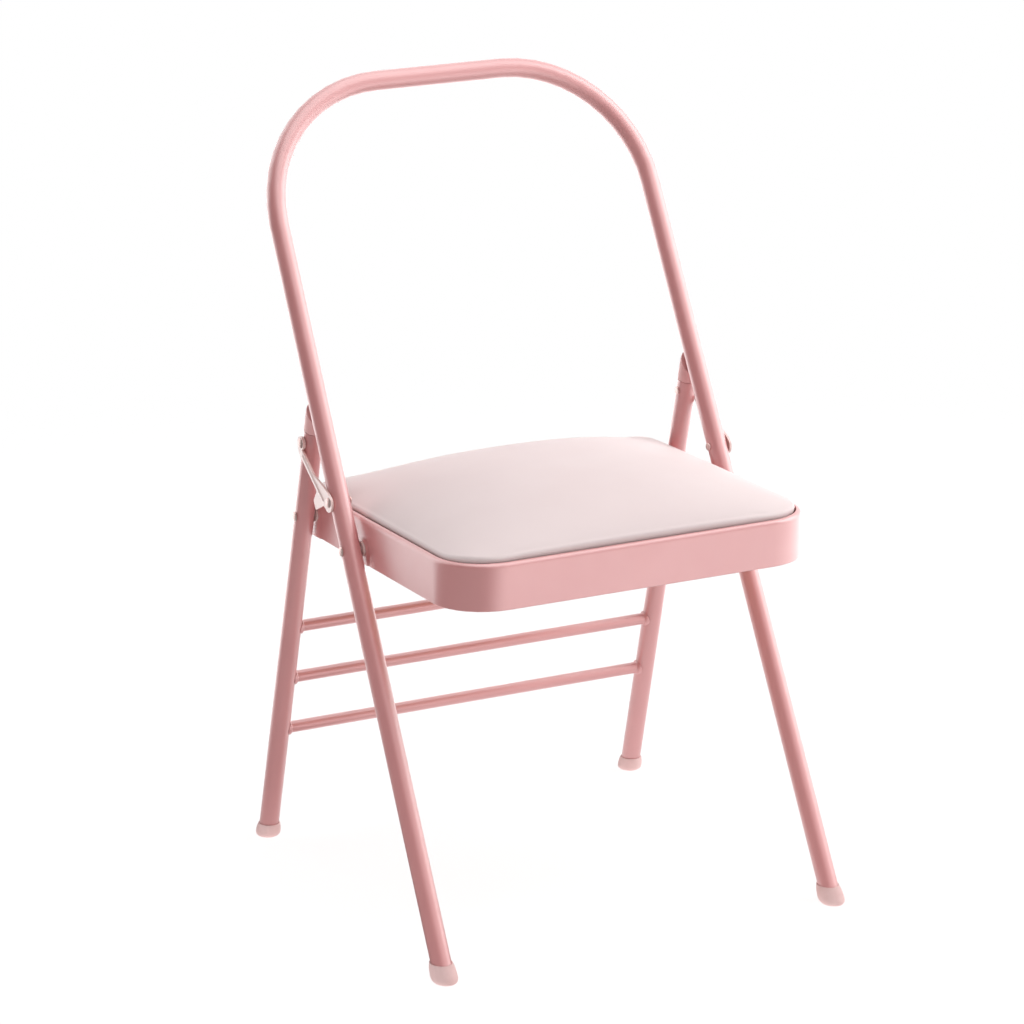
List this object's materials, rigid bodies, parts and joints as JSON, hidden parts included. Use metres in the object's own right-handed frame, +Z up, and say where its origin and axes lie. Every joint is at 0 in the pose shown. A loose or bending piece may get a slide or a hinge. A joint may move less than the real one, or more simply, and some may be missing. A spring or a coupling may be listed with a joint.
{
  "type": "backless yoga chair",
  "caption": "Folding metal chair with an open back frame, padded seat, rear rungs and side links, used to support the body in yoga poses.",
  "frame": {"origin": "centre of the bounding box in plan, on the floor plane under the four boots", "axes": "+Z up; +Y towards the back of the chair, where the front frame leans; +X to the right of a viewer who stands in front of the chair, and left and right in node names are that viewer's"},
  "size_m": [0.4552, 0.4686, 0.7863],
  "materials": {
    "frame_paint": "dusty rose powder coat, satin gloss",
    "link_steel": "pale rose coated pressed steel",
    "cushion_vinyl": "very pale pink vinyl cover over foam, soft sheen",
    "board_wood": "raw plywood",
    "boot_rubber": "pale pink rubber, matte",
    "cap_plastic": "rose plastic, satin",
    "rivet_steel": "plated steel, lightly worn",
    "washer_nylon": "natural nylon"
  },
  "bodies": {
    "front_frame": {"front_tube": "frame_paint", "front_boot_left": "boot_rubber", "front_boot_right": "boot_rubber", "seat_front_rivet_left": "rivet_steel", "seat_front_rivet_right": "rivet_steel", "seat_front_washer_left": "washer_nylon", "seat_front_washer_right": "washer_nylon", "link_front_rivet_left": "rivet_steel", "link_front_rivet_right": "rivet_steel"},
    "seat": {"seat_pan": "frame_paint", "seat_cushion": "cushion_vinyl", "cushion_board": "board_wood", "board_screw_front_left": "rivet_steel", "board_screw_front_right": "rivet_steel", "board_screw_back_left": "rivet_steel", "board_screw_back_right": "rivet_steel"},
    "rear_legs": {"rear_leg_left": "frame_paint", "rear_leg_right": "frame_paint", "rung_upper": "frame_paint", "rung_middle": "frame_paint", "rung_lower": "frame_paint", "rear_cap_left": "cap_plastic", "rear_cap_right": "cap_plastic", "rear_boot_left": "boot_rubber", "rear_boot_right": "boot_rubber", "seat_rear_rivet_left": "rivet_steel", "seat_rear_rivet_right": "rivet_steel", "seat_rear_washer_left": "washer_nylon", "seat_rear_washer_right": "washer_nylon", "link_rear_rivet_left": "rivet_steel", "link_rear_rivet_right": "rivet_steel", "link_washer_left": "washer_nylon", "link_washer_right": "washer_nylon"},
    "left_link": {"link_left": "link_steel", "link_rivet_head_left": "rivet_steel"},
    "right_link": {"link_right": "link_steel", "link_rivet_head_right": "rivet_steel"}
  },
  "joints": [
    {"name": "seat_fold", "type": "hinge", "parent": "front_frame", "child": "seat", "pos_m": [0, -0.00901, 0.3697], "axis": [1, 0, 0], "range_deg": [-108, 0]},
    {"name": "rear_leg_fold", "type": "hinge", "parent": "seat", "child": "rear_legs", "pos_m": [0, 0.10159, 0.3743], "axis": [1, 0, 0], "range_deg": [0, 63]},
    {"name": "left_link_turn", "type": "hinge", "parent": "front_frame", "child": "left_link", "pos_m": [0, 0.01567, 0.4127], "axis": [1, 0, 0], "range_deg": [-133, 0]},
    {"name": "right_link_turn", "type": "hinge", "parent": "front_frame", "child": "right_link", "pos_m": [0, 0.01567, 0.4127], "axis": [1, 0, 0], "range_deg": [-133, 0]}
  ],
  "couplings": [
    {"joint": "rear_leg_fold", "follows": "seat_fold", "ratio": -0.5828},
    {"joint": "left_link_turn", "follows": "seat_fold", "ratio": 1.2299},
    {"joint": "right_link_turn", "follows": "seat_fold", "ratio": 1.2299}
  ]
}
